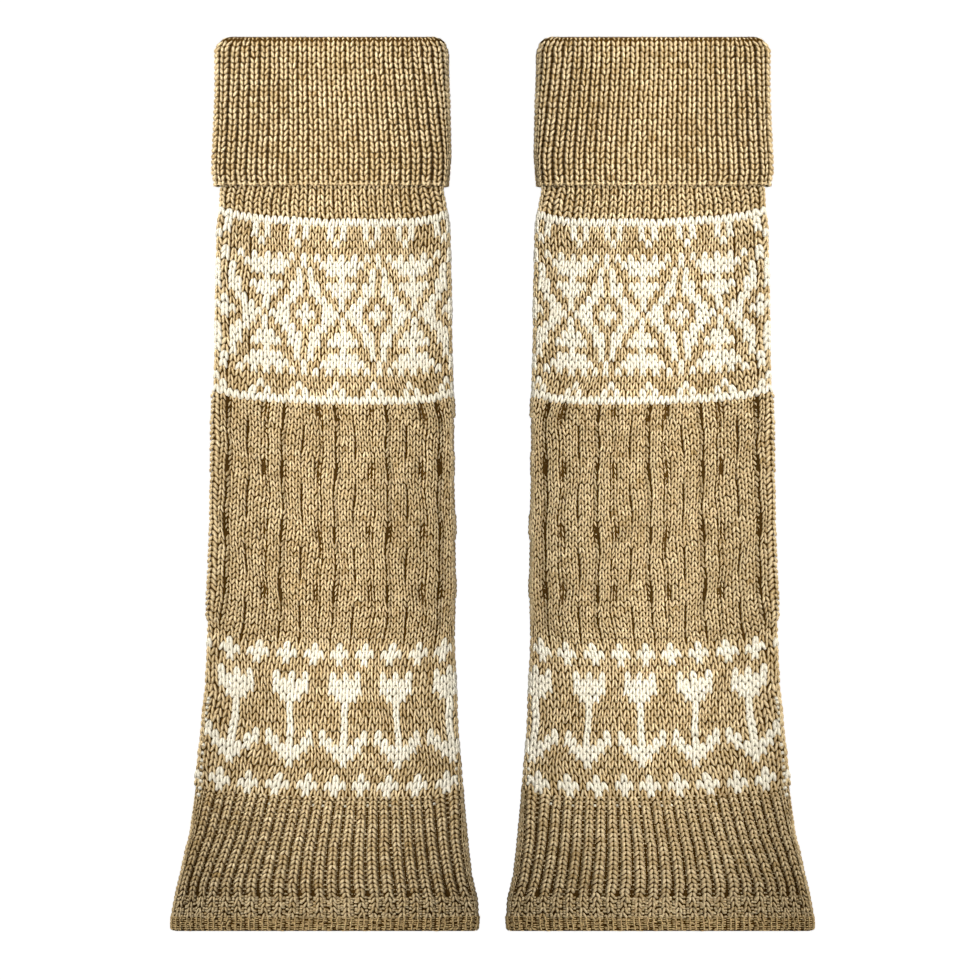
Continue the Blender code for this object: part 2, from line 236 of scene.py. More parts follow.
# %% Where the ribs lie
FOOT_FAN = table("""rib at_3 at_22 at_42 at_62,
    0 0 0 0.004 0.017, 1 0.015 0.015 0.031 0.057, 4 0.115 0.108 0.135 0.168,
    7 0.246 0.227 0.25 0.283, 10 0.374 0.366 0.375 0.406, 14 0.553 0.538 0.542 0.564,
    18 0.723 0.727 0.719 0.723, 22 0.897 0.895 0.883 0.881, 24 0.98 0.971 0.966 0.978, 25 1 1 1 1""")
FOOT_HEIGHTS = (2.8, 22.5, 42.3, 62.0)
FOOT_COLUMNS = 25
TOP_FAN = table("""rib at_341 at_347,
    0 0 0, 1 0.039 0.05, 6 0.237 0.249, 10 0.392 0.397, 14 0.542 0.541, 18 0.688 0.688,
    21 0.796 0.797, 23 0.882 0.875, 25 0.971 0.962, 26 1 1""")
TOP_HEIGHTS = (341.0, 347.0)
TOP_COLUMNS = 26
CUFF_FAN = table("""rib at_357 at_410,
    0 0 0, 1 0.038 0.042, 2 0.075 0.088, 6 0.244 0.25, 10 0.408 0.4, 14 0.568 0.554,
    18 0.736 0.709, 21 0.86 0.826, 23 0.949 0.908, 24 0.983 0.952, 25 1 1""")
CUFF_HEIGHTS = (357.0, 410.0)
CUFF_COLUMNS = 25
FOOT = (FOOT_FAN, FOOT_HEIGHTS, FOOT_COLUMNS)
TOP = (TOP_FAN, TOP_HEIGHTS, TOP_COLUMNS)
CUFF = (CUFF_FAN, CUFF_HEIGHTS, CUFF_COLUMNS)


def rib_around(ribs, rib, height):
    """How far round the face a place counted in ribs lies at a height."""
    fan, heights, _ = ribs
    rib, height = np.broadcast_arrays(rib, height)
    names = [name for name in fan if name != "rib"]
    tried = np.stack([np.interp(rib, fan["rib"], fan[name]) for name in names])
    return between_heights(tried, heights, height)


def count_at(count, place_of, around, height):
    """The other way round: which wale or rib lies at a place. Both are arrays of one length."""
    every = np.arange(count + 1.0)
    counted = np.empty_like(around)
    for row in np.unique(height):
        here = height == row
        counted[here] = np.interp(around[here], place_of(every, row), every)
    return counted


def rib_at(ribs, around, height):
    return count_at(ribs[2], lambda rib, row: rib_around(ribs, rib, row), around, height)


print("ribs at the foot, above the bands and on the cuff:", FOOT_COLUMNS, TOP_COLUMNS, CUFF_COLUMNS)

# %% [markdown]
# ## Relief
# The textured stretch has ridges two wales wide, with a groove midway between each two. Four short rows of
# notches interrupt the grooves, where the panel between two ridges bulges and its edges sink. The ribs have
# broad crests and narrow valleys. Such thick cloth falls off softly towards its folded sides, and it's never
# quite even. All of this is a distance that is added to the offset.

# %% How high the knit stands
RIDGE_WALE = 1.0
RIDGE_EVERY = 8.0
PROFILE_START = -0.16
RIDGE_PROFILE = table("""place plain_row notch_row,
    -0.125 1 1, 0 1.3 1.3, 0.125 1 1, 0.16 -0.45 -1, 0.25 0.3 -0.3, 0.37 0.4 0.7, 0.46 0.3 0.8,
    0.5 -0.3 0.7, 0.54 0.3 0.8, 0.63 0.4 0.7, 0.75 0.3 -0.2, 0.84 -0.45 -1""")
NOTCH_ROWS = (159.0, 187.5, 217.0, 243.0)
NOTCH_DEEP = 3.2
NOTCH_REACH = 7.0
TEXTURE_BOTTOM = 140.0
TEXTURE_TOP = 250.0
TEXTURE_EDGE = 3.0
RIDGE_GAIN = 1.4
RIB_RELIEF = table("""height level ribs,
    7.8 0.15 0.1, 15 0.3 0.2, 20 0.45 0.75, 56 0.5 0.9, 62.5 0.45 0.5, 65 0.4 0, 333 0.4 0,
    337 0.4 0.35, 351 0.35 0.45""")
RIB_ROUND = 0.7
RIBS_END, RIBS_START = 64.0, 334.0
OUTER_STRIP, OUTER_LEVEL = 1.0, -0.1
INNER_STRIP, INNER_LEVEL = 24.0, -0.6
SIDE_FALL, SIDE_REACH = 0.55, 0.13
UNEVEN = ((0.16, 17.0, 11.0), (0.12, -9.0, 17.0), (0.08, 31.0, 7.3))


def notch_share(height):
    nearest = np.min([np.abs(height - row) for row in NOTCH_ROWS], axis=0)
    return np.clip((NOTCH_REACH - nearest) / (NOTCH_REACH - NOTCH_DEEP), 0.0, 1.0)


def rib_wave(rib):
    """From -1 in the valley between two columns to 1 on the crest of a column."""
    return 2.0 * np.abs(np.sin(math.pi * rib)) ** RIB_ROUND - 1.0


def lie_of_cloth(around, height):
    """How the whole face swells and sinks: lower along both sides, and softly uneven."""
    from_side = np.minimum(around, 1.0 - around)
    fall = SIDE_FALL * (1.0 - smooth(from_side / SIDE_REACH))
    return sum(size * np.sin(k * around + height / length) for size, k, length in UNEVEN) - fall


def ribbed_offset(rib, around, height):
    """A ribbed stretch's offset from the middle plane. The strips along the seams have no ribs."""
    wave = np.where(rib < OUTER_STRIP, OUTER_LEVEL, rib_wave(rib))
    wave = np.where(rib > INNER_STRIP, INNER_LEVEL, wave)
    relief = column(RIB_RELIEF, "level", height) + column(RIB_RELIEF, "ribs", height) * wave
    return PANEL_OUT + relief + lie_of_cloth(around, height)


def patterned_offset(wale, around, height):
    """The same for the patterned stretch, with the ridges and notches of the texture."""
    repeat = np.mod((wale - RIDGE_WALE) / RIDGE_EVERY - PROFILE_START, 1.0) + PROFILE_START
    plain = column(RIDGE_PROFILE, "plain_row", repeat)
    notch = column(RIDGE_PROFILE, "notch_row", repeat)
    level = column(RIB_RELIEF, "level", height)
    edge = np.minimum(height - TEXTURE_BOTTOM, TEXTURE_TOP - height) / TEXTURE_EDGE
    relief = RIDGE_GAIN * (plain + notch_share(height) * (notch - plain)) - level
    return PANEL_OUT + level + np.clip(edge, 0.0, 1.0) * relief + lie_of_cloth(around, height)


print("height of a ridge's crest:", round(RIDGE_GAIN * RIDGE_PROFILE["plain_row"].max(), 2), "mm")

# %% [markdown]
# ## One stitch
# A plain stitch shows as two plump legs of yarn that meet at one end and part at the other. Knit upside down
# it is a lambda, and on the turned cuff, which shows the knit from its other end, a V. It could be a swept
# curve, but thousands are needed, so each leg is a UV sphere with four sides: stretched along the row, then
# bent ring by ring with Move in edit mode. A Mirror modifier makes the second leg. Its X is in wales, its Y
# in rows and its Z in millimetres, and it's stretched to its real size where it's placed. On the cuff the
# legs lean less, in the welt they are two thin upright lines, and on the back they have only three sides.

# %% Model the stitch legs
PLAIN_LEG = table("station side lift, -1 0.4 -0.45, -0.71 0.36 0, 0 0.25 0.12, 0.71 0.14 0, 1 0.1 -0.4")
RIB_LEG = table("""station side lift,
    -1 0.36 -0.5, -0.71 0.34 -0.05, 0 0.26 0.15, 0.71 0.18 -0.05, 1 0.15 -0.5""")
WELT_LEG = table("station side lift, -1 0.2 -0.2, 0 0.2 0, 1 0.2 -0.2")


def start_piece(add, name, **settings):
    """Adds a primitive by itself and names it."""
    bpy.ops.object.select_all(action="DESELECT")
    add(**settings)
    made = bpy.context.object
    made.name = name
    return made


def move_points(made, chosen, offset):
    """Edit mode's Move on the vertices whose place passes a test."""
    bpy.ops.object.mode_set(mode="EDIT")
    bpy.ops.mesh.select_all(action="DESELECT")
    bpy.ops.object.mode_set(mode="OBJECT")
    for vertex in made.data.vertices:
        vertex.select = bool(chosen(vertex.co))
    bpy.ops.object.mode_set(mode="EDIT")
    bpy.ops.transform.translate(value=offset)
    bpy.ops.object.mode_set(mode="OBJECT")


def as_pattern(made):
    """Reads a small model into arrays and removes it, so that copies can be joined from them."""
    mesh = made.data
    points = np.empty(len(mesh.vertices) * 3)
    corners = np.empty(len(mesh.loops), int)
    sides = np.empty(len(mesh.polygons), int)
    uv = np.empty(len(mesh.loops) * 2)
    mesh.vertices.foreach_get("co", points)
    mesh.loops.foreach_get("vertex_index", corners)
    mesh.polygons.foreach_get("loop_total", sides)
    mesh.uv_layers[0].data.foreach_get("uv", uv)
    bpy.data.objects.remove(made)
    return {"points": points.reshape(-1, 3), "corners": corners, "sides": sides, "uv": uv}


def stretched_sphere(name, sides, rings, axis, width, length, thickness):
    """A UV sphere that is turned about X or Y, so that its poles lie down, and stretched to its size."""
    add_sphere = bpy.ops.mesh.primitive_uv_sphere_add
    made = start_piece(add_sphere, name, segments=sides, ring_count=rings, radius=1.0)
    bpy.ops.object.mode_set(mode="EDIT")
    bpy.ops.mesh.select_all(action="SELECT")
    bpy.ops.transform.rotate(value=math.pi / 2, orient_axis=axis, center_override=(0.0, 0.0, 0.0))
    size = (width / 2, length / 2, thickness / 2)
    bpy.ops.transform.resize(value=size, center_override=(0.0, 0.0, 0.0))
    bpy.ops.object.mode_set(mode="OBJECT")
    return made


def model_stitch(name, leg, sides, rings, width, length, thickness, lift=0.0):
    """Two bent legs. The leg's table says how far each station stands to the side and up."""
    made = stretched_sphere(name, sides, rings, "X", width, length, thickness)
    for y in sorted({round(vertex.co.y, 4) for vertex in made.data.vertices}):
        share = 2 * y / length
        side, raised = float(column(leg, "side", share)), float(column(leg, "lift", share))
        move_points(made, lambda co: abs(co.y - y) < 0.001, (side, 0.0, raised + lift))
    mirror = made.modifiers.new("other leg", "MIRROR")
    mirror.use_mirror_merge = False
    bpy.ops.object.modifier_apply(modifier=mirror.name)
    return as_pattern(made)


CAMEL_STITCH = model_stitch("camel_stitch", PLAIN_LEG, 4, 4, width=0.42, length=1.36, thickness=1.5)
CREAM_STITCH = model_stitch("cream_stitch", PLAIN_LEG, 4, 4, width=0.58, length=1.5, thickness=1.5, lift=0.15)
RIB_STITCH = model_stitch("rib_stitch", RIB_LEG, 4, 4, width=0.42, length=1.3, thickness=1.4)
WELT_STITCH = model_stitch("welt_stitch", WELT_LEG, 4, 3, width=0.17, length=1.5, thickness=1.3)
BACK_STITCH = model_stitch("back_stitch", PLAIN_LEG, 3, 3, width=0.46, length=1.36, thickness=1.1)
print("triangles in a front stitch:", int((CAMEL_STITCH["sides"] - 2).sum()))

# %% [markdown]
# A purl bump is the back of a stitch: a short bar of yarn that lies across the wale. It shows deep in the
# valleys between ribs. Small ones make the fine grain of the flat rows, of the hem band and of the cuff's
# rim. One stretched and slightly bowed sphere with four sides is enough.

# %% Model a purl bump
PURL_BOW, BOWED_REACH = 0.18, 0.4
bar = stretched_sphere("purl_bump", 4, 4, "Y", width=1.0, length=0.55, thickness=0.9)
move_points(bar, lambda co: abs(co.x) < BOWED_REACH, (0.0, PURL_BOW, 0.0))
PURL_BUMP = as_pattern(bar)
print("triangles in a purl bump:", int((PURL_BUMP["sides"] - 2).sum()))

# %% [markdown]
# ## Joining many copies
# An Array modifier repeats a piece in a straight line, and these stitches follow a curved form, so the copies
# are placed with arrays of numbers and joined in one mesh. Each copy keeps a tone of its own as an attribute,
# because no two stitches of real yarn are equally light. The right warmer is the left one's mirror image.

# %% Place and join copies
random = np.random.default_rng(seed=24)
# How far a stitch is off across and up, in cells, how far its lift is off, in millimetres, and its lean.
SPREADS = (0.03, 0.04, 0.06, 0.05)
TONE_SPREAD = 0.11


def place_copies(pattern, across, up, to_points, width=1.0, turned=False, settle=0.0, loose=1.0, side=FRONT):
    """A group of copies: the pattern, every copy's points, and whether its faces have to be turned back.

    to_points takes places across and up in the knit, a lift in millimetres and the side. Each copy is a
    little off its place and leans a little, the more so the looser the knit is."""
    count = len(across)
    shape = pattern["points"]
    up_the_row = -shape[:, 1] if turned else shape[:, 1]
    off, up_off, lift_off, lean = (random.normal(0.0, spread * loose, (count, 1)) for spread in SPREADS)
    u = across[:, None] + width * (shape[:, 0] + off + lean * up_the_row)
    v = up[:, None] + up_the_row + up_off
    return pattern, to_points(u, v, shape[:, 2] - settle + lift_off, side), turned != (side == BACK)


def stitches_in(groups):
    return sum(len(placed) for _, placed, _ in groups)


def join_copies(name, groups, material, mirrored):
    """One mesh from groups of copies."""
    points, corners, totals, uvs, tones = [], [], [], [], []
    base = 0
    for pattern, placed, turned_back in groups:
        count, size = placed.shape[:2]
        loop = pattern["corners"]
        uv = pattern["uv"].reshape(-1, 2)
        if turned_back != mirrored:
            ends = np.cumsum(pattern["sides"])
            order = np.concatenate([np.arange(e - 1, e - s - 1, -1) for e, s in zip(ends, pattern["sides"])])
            loop, uv = loop[order], uv[order]
        starts = base + size * np.arange(count)
        corners.append((loop[None] + starts[:, None]).ravel())
        totals.append(np.tile(pattern["sides"], count))
        uvs.append(np.tile(uv, (count, 1)))
        points.append(placed.reshape(-1, 3))
        tones.append(np.repeat(random.normal(0.5, TONE_SPREAD, count), size))
        base += count * size
    points = np.concatenate(points) * METRE
    if mirrored:
        points[:, 0] *= -1.0
    corners, totals = np.concatenate(corners), np.concatenate(totals)
    mesh = bpy.data.meshes.new(name)
    mesh.vertices.add(len(points))
    mesh.vertices.foreach_set("co", points.ravel())
    mesh.loops.add(len(corners))
    mesh.loops.foreach_set("vertex_index", corners)
    mesh.polygons.add(len(totals))
    mesh.polygons.foreach_set("loop_start", np.concatenate([[0], np.cumsum(totals)[:-1]]))
    mesh.update(calc_edges=True)
    mesh.uv_layers.new(name="yarn").data.foreach_set("uv", np.concatenate(uvs).ravel())
    mesh.attributes.new("tone", "FLOAT", "POINT").data.foreach_set("value", np.concatenate(tones))
    mesh.shade_smooth()
    mesh.materials.append(material)
    made = bpy.data.objects.new(name, mesh)
    bpy.context.scene.collection.objects.link(made)
    return made


# %% [markdown]
# ## The colour charts
# Knitters chart a repeat on squared paper, one square for a stitch. The upper band repeats every 12 wales: a
# diamond round the first wale and a flower between two diamonds. The lower band has tulips every 8 wales
# between two lines of small crosses every 4. A # is a cream stitch. Rows read from the top down.

# %% Charts of the two bands
DIAMOND_HALF = """
############
#...#.#...#.
#...#.#...#.
.....#.....#
............
#.#.#.#.#.#.
#..#######..
.#..#####..#
.#....#....#
.##.#####.##
.##..###..##
..##..#..##.
#..##.#.##..
""".split()
DIAMOND_MIDDLE = "##.###.###.#"
DIAMOND_BOTTOM = """
............
.....#.....#
#...#.#...#.
############
""".split()
DIAMOND_CHART = (*DIAMOND_HALF, DIAMOND_MIDDLE, *DIAMOND_HALF[:4:-1], *DIAMOND_BOTTOM)
DIAMOND_START = 1
DIAMOND_REPEAT, TULIP_REPEAT = 12, 8
CROSSES = ("...#...#", "#.###.##", "...#...#")
TULIPS = """
........
..#.#.#.
..#####.
..#####.
...###..
....#...
....#...
....#...
....#...
.#..#..#
.##.#.##
..#####.
...###..
....#...
........
""".split()
TULIP_CHART = (*CROSSES, *TULIPS, *CROSSES)


def is_cream(wale, row):
    """Whether the chart has a cream stitch at this wale and row, counted from 0 at the bottom."""
    if row < TULIP_ROWS:
        return TULIP_CHART[TULIP_ROWS - 1 - row][wale % TULIP_REPEAT] == "#"
    if row >= TULIP_ROWS + TEXTURE_ROWS:
        return DIAMOND_CHART[BAND_ROWS - 1 - row][(wale - DIAMOND_START) % DIAMOND_REPEAT] == "#"
    return False


CREAM = np.array([[is_cream(wale, row) for wale in range(WALES)] for row in range(BAND_ROWS)])
print("rows in the charts:", len(DIAMOND_CHART), len(TULIP_CHART), "cream stitches:", int(CREAM.sum()))

# %% [markdown]
# ## Gaps between wales
# On both sides of each ridge, in a groove and where the upper band creases, two wales stand a little apart
# and the inside of the knit, painted dark as shade, shows as a slit. The wales beside such a gap are drawn
# narrower, and its width swings a little from row to row. In a notch row the groove closes, the gap on the
# ridge's inner side opens, and the wale on its outer side sinks.

# %% Narrow the wales beside a gap
RIDGE_GAP = 0.15
GROOVE_GAP = 0.2
SIDE_GAP = 0.12
NOTCH_GAP = 0.33
GAP_SWING, GAP_WAVE, CREASE_WAVE = 0.5, 1.3, 0.9
NOTCH_HALF = 1
# Each crease is an edge between two wales, the rows it goes from and to, and how wide it gapes.
CREASES = (
    (2, 68, 90, 0.12), (5, 70, 91, 0.15), (8, 76, 88, 0.1),
    (10, 66, 86, 0.06), (16, 68, 84, 0.06), (28, 66, 90, 0.06),
)


def row_at(height):
    return int(np.interp(height, ROWS_UP["height"], ROWS_UP["row"]))


def gaps_and_notches():
    """The gaps at the wales' edges as an array of rows by edges, and which stitches are sunk."""
    gap = np.zeros((BAND_ROWS, WALES + 1))
    sunk = np.zeros((BAND_ROWS, WALES), bool)
    notches = [row_at(height) for height in NOTCH_ROWS]
    for row in range(TULIP_ROWS, TULIP_ROWS + TEXTURE_ROWS):
        notch = any(abs(row - at) <= NOTCH_HALF for at in notches)
        closed = any(abs(row - at) <= NOTCH_HALF + 1 for at in notches)
        for edge in range(1, WALES):
            from_ridge = (edge - RIDGE_WALE) % RIDGE_EVERY
            swing = 1.0 + GAP_SWING * math.sin(GAP_WAVE * row + edge)
            if from_ridge == 1.0:
                gap[row, edge] = NOTCH_GAP if notch else RIDGE_GAP * swing
            if from_ridge == RIDGE_EVERY / 2 and not closed:
                gap[row, edge] = GROOVE_GAP * (1.0 + swing) / 2
            if from_ridge == RIDGE_EVERY - 1.0:
                sunk[row, edge - 1] = notch
                gap[row, edge] = SIDE_GAP * swing
    for edge, first, last, width in CREASES:
        for row in range(first, last):
            gap[row, edge] = width * (1.0 + GAP_SWING * math.sin(CREASE_WAVE * row + edge))
    return gap, sunk


GAP, SUNK = gaps_and_notches()
LEFT_EDGE = np.arange(WALES) + GAP[:, :-1] / 2
RIGHT_EDGE = np.arange(WALES) + 1 - GAP[:, 1:] / 2
print("widest gap between two wales:", GAP.max(), "wale. Sunk stitches:", int(SUNK.sum()))

# %% [markdown]
# ## All the stitches of a front
# The patterned stretch is split by colour, so that each yarn is a piece with its own finish. A rib is one
# column of knit stitches, narrower than the rib's spacing, with purl bumps deep between two columns. Just
# above the hem band the ribs are flat: the columns are narrower and looser there, the valleys end in uneven
# rows, and small bumps fill the ground. Each group is worked out once and used for both warmers.

# %% Stitches of the front
SETTLE = 0.25
FOOT_ROWS_UP = table("row height, 0 6.6, 4 16.4, 26 63.9")
FOOT_ROWS, FLAT_ROWS = 26, 3
TOP_ROWS_UP = table("row height, 0 334.6, 6 351.4")
TOP_ROWS = 6
FOOT_COLUMN = 0.84
TOP_COLUMN = 0.96
FLAT_COLUMN = 0.62
SEAM_COLUMN = 0.5
TAPER_ROWS = 4.0
VALLEY, PURL_SETTLE = 0.32, 0.9
GRAIN, GRAIN_OFF, GRAIN_SETTLE = 0.27, 0.13, 0.25
BAND_LOOSE, RIB_LOOSE, WELT_LOOSE, GRAIN_LOOSE = 1.3, 0.85, 1.8, 3.2


def band_height(row):
    """The patterned rows' heights, running on evenly past both ends."""
    steps = np.diff(ROWS_UP["height"]) / np.diff(ROWS_UP["row"])
    inside = column(ROWS_UP, "height", row)
    return inside + steps[0] * np.minimum(row, 0.0) + steps[-1] * np.maximum(row - BAND_ROWS, 0.0)


def on_bands(wale, row, lift, side):
    """Points of the patterned stretch. The back has no relief."""
    height = band_height(row)
    around = wale_around(wale, height)
    offset = patterned_offset(wale, around, height) if side == FRONT else PANEL_OUT
    return body_point(around, height, offset + lift, side)


def on_ribs(ribs, rows, rib, row, lift, side):
    """The same for a ribbed stretch, counted in ribs and rows."""
    height = np.interp(row, rows["row"], rows["height"])
    around = rib_around(ribs, rib, height)
    offset = ribbed_offset(rib, around, height) if side == FRONT else PANEL_OUT
    return body_point(around, height, offset + lift, side)


def on_foot(*place):
    return on_ribs(FOOT, FOOT_ROWS_UP, *place)


def on_top(*place):
    return on_ribs(TOP, TOP_ROWS_UP, *place)


def band_stitches(cream, pattern, settle, side, chosen=True):
    rows, wales = np.nonzero((CREAM == cream) & chosen)
    left, right = LEFT_EDGE[rows, wales], RIGHT_EDGE[rows, wales]
    place = ((left + right) / 2, rows + 0.5, on_bands, (right - left)[:, None])
    return place_copies(pattern, *place, settle=settle, loose=BAND_LOOSE, side=side)


def cells(columns, rows, shift=0.0):
    """Centres of the cells of a stretch, one for each column and row given."""
    across, up = np.meshgrid(np.asarray(columns) + 0.5 + shift, np.asarray(rows) + 0.5)
    return across.ravel(), up.ravel()


front_camel = [band_stitches(False, CAMEL_STITCH, SETTLE, FRONT, ~SUNK)]
front_cream = [band_stitches(True, CREAM_STITCH, SETTLE, FRONT)]
valleys = range(0, FOOT_COLUMNS - 1)
column_cells = cells(range(1, FOOT_COLUMNS - 1), range(FOOT_ROWS))
top_cells = cells(range(TOP_COLUMNS), range(TOP_ROWS))
taper = smooth((column_cells[1] - FLAT_ROWS) / TAPER_ROWS)[:, None]
column_width = FLAT_COLUMN + (FOOT_COLUMN - FLAT_COLUMN) * taper
column_loose = WELT_LOOSE + (RIB_LOOSE - WELT_LOOSE) * taper
valley_ends = random.integers(FLAT_ROWS - 1, FLAT_ROWS + 3, FOOT_COLUMNS)
valley_cells = np.stack(cells(valleys, range(FOOT_ROWS), 0.5))
deep = valley_cells[1] > valley_ends[valley_cells[0].astype(int) - 1]
grain_places = [valley + off for valley in valleys for off in (-GRAIN_OFF, GRAIN_OFF)]
grains = cells(grain_places, np.arange(2 * FLAT_ROWS + 2) / 2 - 0.25, 0.5)
front_ribs = []
for pattern, grid, to_points, width, settle, loose in (
    (CAMEL_STITCH, column_cells, on_foot, column_width, SETTLE, column_loose),
    (CAMEL_STITCH, top_cells, on_top, TOP_COLUMN, SETTLE, RIB_LOOSE),
    (PURL_BUMP, valley_cells[:, deep], on_foot, VALLEY, PURL_SETTLE, RIB_LOOSE),
    (PURL_BUMP, grains, on_foot, GRAIN, GRAIN_SETTLE, GRAIN_LOOSE),
):
    front_ribs.append(place_copies(pattern, *grid, to_points, width, settle=settle, loose=loose))
for shift in (-SEAM_COLUMN / 2, SEAM_COLUMN / 2):
    strip = cells((0, FOOT_COLUMNS - 1), range(FOOT_ROWS), shift)
    front_ribs.append(place_copies(CAMEL_STITCH, *strip, on_foot, SEAM_COLUMN, settle=SETTLE))
print("stitches of a front:", stitches_in(front_camel + front_cream + front_ribs))

# %% [markdown]
# A stitch that is sunk in a notch lies narrow and deep beside the ridge. Along the side seams the cream
# yarn was caught in the seam, so specks of it show below and beside the lower band, and small loops of it
# show in every second valley right under the band.

# %% Sunk stitches and cream specks
SEAM_PLACE = 1.05
SEAM_HEIGHTS = (59.0, 62.0, 65.5, 68.5, 71.5, 74.5, 78.5, 82.0, 94.0, 97.0, 99.5, 102.0, 104.0)
FAR_SEAM_PLACE = 36.9
FAR_SEAM_HEIGHTS = (66.0, 69.5, 73.0, 76.5)
LOOP_VALLEYS = (7.2, 11.1, 12, 14, 16, 18, 20, 22)
LOOP_ROW = 23.8
HEM_EDGE_ROW = -18.5
SPECK_LENGTH, SPECK_LIFT = 0.45, 0.45
LOOP_LENGTH, LOOP_LIFT = 0.22, 0.1
SUNK_WIDTH, SUNK_SETTLE = 0.85, 0.9
sunk_rows, sunk_wales = np.nonzero(SUNK)
sunk_cells = (sunk_wales + 0.5, sunk_rows + 0.5)
front_ribs.append(place_copies(CAMEL_STITCH, *sunk_cells, on_bands, SUNK_WIDTH, settle=SUNK_SETTLE))
seam_across = np.array([SEAM_PLACE] * len(SEAM_HEIGHTS) + [FAR_SEAM_PLACE] * len(FAR_SEAM_HEIGHTS))
known_heights, known_rows = [0.0, *ROWS_UP["height"]], [HEM_EDGE_ROW, *ROWS_UP["row"]]
seam_up = np.interp([*SEAM_HEIGHTS, *FAR_SEAM_HEIGHTS], known_heights, known_rows)
specks = place_copies(PURL_BUMP, seam_across, seam_up, on_bands, SPECK_LENGTH, settle=-SPECK_LIFT)
loop_cells = (np.array(LOOP_VALLEYS), np.full(len(LOOP_VALLEYS), LOOP_ROW))
loops = place_copies(PURL_BUMP, *loop_cells, on_foot, LOOP_LENGTH, settle=-LOOP_LIFT)
front_cream += [specks, loops]
print("sunk stitches and cream specks:", len(sunk_rows), stitches_in([specks, loops]))

# %% [markdown]
# ## Stitches of the back
# The photograph doesn't show the back. Such a tube is knitted with the same pattern all round, so the back
# has the same charts. It lies on the table, so its crests are level with the surface and carry no relief.

# %% Stitches of the back
BACK_SETTLE = 0.7
back_camel = [band_stitches(False, BACK_STITCH, BACK_SETTLE, BACK)]
back_cream = [band_stitches(True, BACK_STITCH, BACK_SETTLE, BACK)]
for columns, rows, to_points, width in (
    (FOOT_COLUMNS, FOOT_ROWS, on_foot, FOOT_COLUMN),
    (TOP_COLUMNS, TOP_ROWS, on_top, TOP_COLUMN),
):
    place = (*cells(range(columns), range(rows)), to_points, width)
    back_camel.append(place_copies(BACK_STITCH, *place, settle=BACK_SETTLE, side=BACK))
print("stitches of a back:", stitches_in(back_camel + back_cream))

# %% [markdown]
# ## The cuff and the hem band
# The cuff shows the ribbed top from its other end, so its columns are Vs. They go on over the fold at the
# top, are flatter in the middle of the face, and end below in a rim of small bumps, two to each column. The
# face falls off towards its inner side. The hem band is a narrow welt: two thin upright lines to each rib,
# and between them a fine grain, three bumps to each rib, which also covers the turned edge.

# %% Stitches of the cuff and of the hem band
CUFF_ROWS = 26
CUFF_OVER = 3
CUFF_STEP = CUFF_LEG / CUFF_ROWS
CUFF_RIB = 0.9
CUFF_FLAT, CUFF_FLAT_REACH = 0.35, 0.4
CUFF_FALL, CUFF_FALL_REACH = 0.9, 0.09
CUFF_COLUMN = 0.97
CUFF_EDGE = 0.2
FOLD_SETTLE = 0.25
HEM_ROWS = 5
HEM_STEP = HEM_LEG / HEM_ROWS
RIM_LENGTH, RIM_ROW = 0.6, -0.2
HEM_SETTLE, LINE_LIFT, GRAIN_SINK = 0.3, 0.45, 0.05
FRONT_GRAIN_ROWS, BACK_GRAIN_ROWS = 7, 3
HEM_GRAIN = 0.34


def fold_share(path):
    """0 on the cuff's outer leg, 1 on its fold."""
    return smooth((path - CUFF_LEG + CUFF_STEP) / CUFF_STEP)


def cuff_relief(rib, around, path):
    """Ribs and unevenness of the cuff's face. Both fade at the fold, whose edge is straight."""
    depth = CUFF_FLAT + (1.0 - CUFF_FLAT) * smooth(np.abs(around - 0.5) / CUFF_FLAT_REACH)
    fall = CUFF_FALL * (1.0 - smooth((1.0 - around) / CUFF_FALL_REACH))
    cloth = lie_of_cloth(around, CUFF_BOTTOM + path) - fall
    return (rib_wave(rib) * CUFF_RIB * depth + cloth) * (1.0 - fold_share(path))


def on_cuff(rib, row, lift, side):
    path = np.maximum(row * CUFF_STEP, CUFF_EDGE)
    around = rib_around(CUFF, rib, CUFF_BOTTOM + path)
    relief = cuff_relief(rib, around, path) if side == FRONT else 0.0
    return cuff_point(around, path, lift + relief - FOLD_SETTLE * fold_share(path), side)


def on_hem(rib, row, lift, side):
    path = np.clip(HEM_PATH - HEM_LEG + row * HEM_STEP, 0.0, HEM_PATH)
    return hem_point(rib_around(FOOT, rib, 0.0 * row), path, lift, side)


cuff_stitches, hem_stitches = [], []
for side, pattern, settle, hem_settle, grain_rows in (
    (FRONT, RIB_STITCH, SETTLE, HEM_SETTLE, FRONT_GRAIN_ROWS),
    (BACK, BACK_STITCH, BACK_SETTLE, BACK_SETTLE, BACK_GRAIN_ROWS),
):
    columns = cells(range(CUFF_COLUMNS), range(CUFF_ROWS + CUFF_OVER))
    rim = cells(np.arange(2 * CUFF_COLUMNS) / 2 - 0.25, (RIM_ROW,))
    for knit, grid, width, turned in (
        (pattern, columns, CUFF_COLUMN, True),
        (PURL_BUMP, rim, RIM_LENGTH, False),
    ):
        lie = {"turned": turned, "settle": settle, "loose": RIB_LOOSE, "side": side}
        cuff_stitches.append(place_copies(knit, *grid, on_cuff, width, **lie))
    lines = cells(range(FOOT_COLUMNS), range(HEM_ROWS))
    thirds, fine_rows = cells(np.arange(3 * FOOT_COLUMNS) / 3, np.arange(-1, grain_rows))
    grain = (thirds - 1 / 3, fine_rows * HEM_ROWS / grain_rows)
    for knit, grid, width, sink, loose in (
        (WELT_STITCH, lines, 1.0, -LINE_LIFT, RIB_LOOSE),
        (PURL_BUMP, grain, HEM_GRAIN, GRAIN_SINK, GRAIN_LOOSE),
    ):
        lie = {"settle": hem_settle + sink, "loose": loose, "side": side}
        hem_stitches.append(place_copies(knit, *grid, on_hem, width, **lie))
print("stitches of a cuff and of a hem band:", stitches_in(cuff_stitches), stitches_in(hem_stitches))
